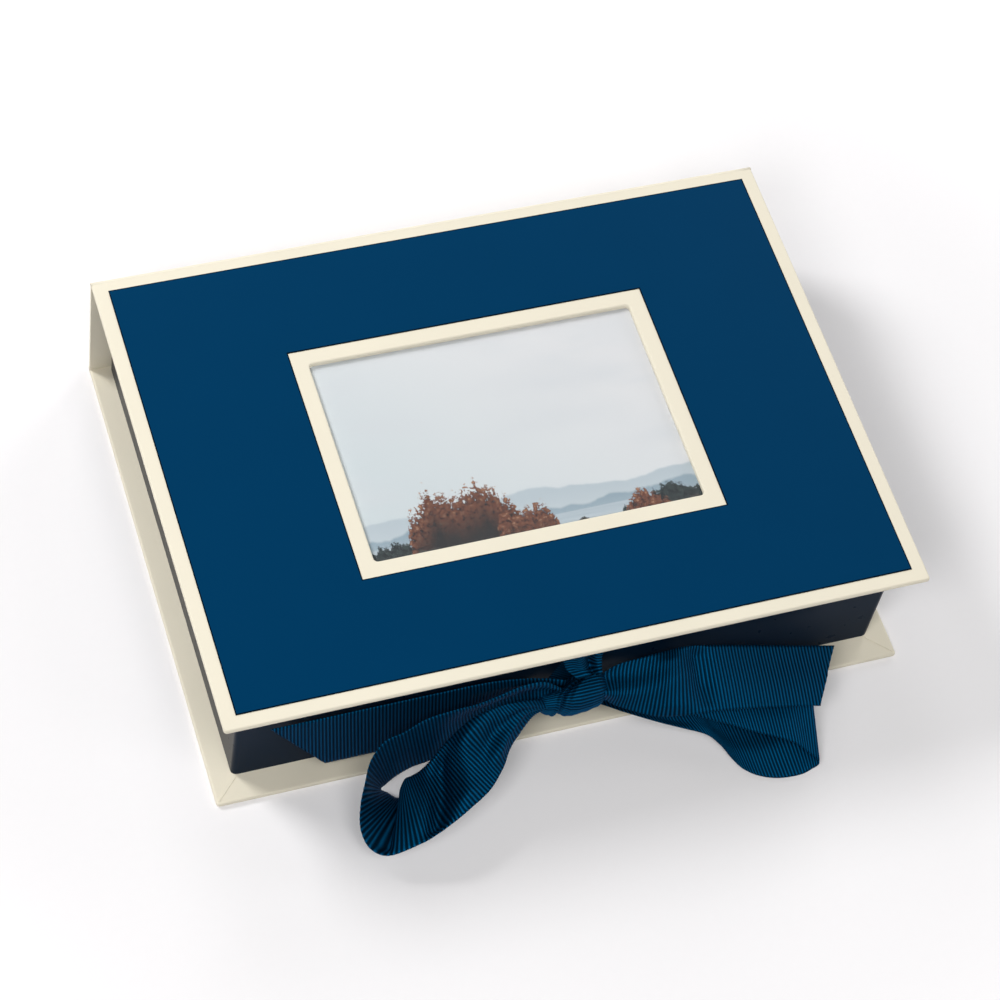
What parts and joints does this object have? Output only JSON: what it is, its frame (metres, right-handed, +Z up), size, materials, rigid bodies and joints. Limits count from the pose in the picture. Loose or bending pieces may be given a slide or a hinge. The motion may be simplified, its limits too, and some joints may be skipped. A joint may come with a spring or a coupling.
{
  "type": "photo storage box",
  "caption": "Hinged keepsake box for photo prints: covered boards, a tray inside, a framed picture window in the lid and a ribbon bow in front.",
  "frame": {"origin": "centre of the box's rectangular base on its underside, where it stands on the table", "axes": "+X to the right along the box's long side, +Y from the bow to the hinge side, +Z up"},
  "size_m": [0.255, 0.2259, 0.0553],
  "materials": {
    "greyboard": "pressed greyboard, fibrous",
    "cream_paper": "smooth satin cover paper",
    "navy_paper": "satin dark slate-navy wrap paper",
    "panel_paper": "satin navy panel paper",
    "clear_film": "clear glossy sheet",
    "pocket_card_stock": "uncoated card",
    "photo_print": "glossy photo print",
    "navy_ribbon": "grosgrain ribbon with fine cross ribs"
  },
  "bodies": {
    "case": {"base_board": "greyboard", "base_cover_paper": "cream_paper", "base_lining": "cream_paper", "base_fold_paper": "cream_paper", "spine_board": "greyboard", "spine_cover_paper": "cream_paper", "spine_lining": "cream_paper", "tray_floor": "greyboard", "tray_front_wall": "greyboard", "tray_back_wall": "greyboard", "tray_left_wall": "greyboard", "tray_right_wall": "greyboard", "tray_wrap_paper": "navy_paper", "tray_floor_lining": "cream_paper", "base_ribbon": "navy_ribbon", "bow_knot": "navy_ribbon", "bow_left_loop": "navy_ribbon", "bow_right_loop": "navy_ribbon", "bow_left_tail": "navy_ribbon", "bow_right_tail": "navy_ribbon", "hinge_paper": "cream_paper", "hinge_liner": "cream_paper"},
    "lid": {"lid_board": "greyboard", "lid_cover_paper": "cream_paper", "lid_panel": "panel_paper", "lid_lining": "cream_paper", "window_film": "clear_film", "pocket_spacer": "pocket_card_stock", "pocket_card": "pocket_card_stock", "lid_ribbon": "navy_ribbon"},
    "print": {"photo_print": "photo_print"}
  },
  "joints": [
    {"name": "lid_hinge", "type": "hinge", "parent": "case", "child": "lid", "pos_m": [0, 0.094, 0.055], "axis": [-1, 0, 0], "range_deg": [0, 195], "deforming": ["hinge_paper", "hinge_liner"]},
    {"name": "print_slide", "type": "slide", "parent": "lid", "child": "print", "axis": [1, 0, 0], "range_m": [0, 0.05]}
  ]
}
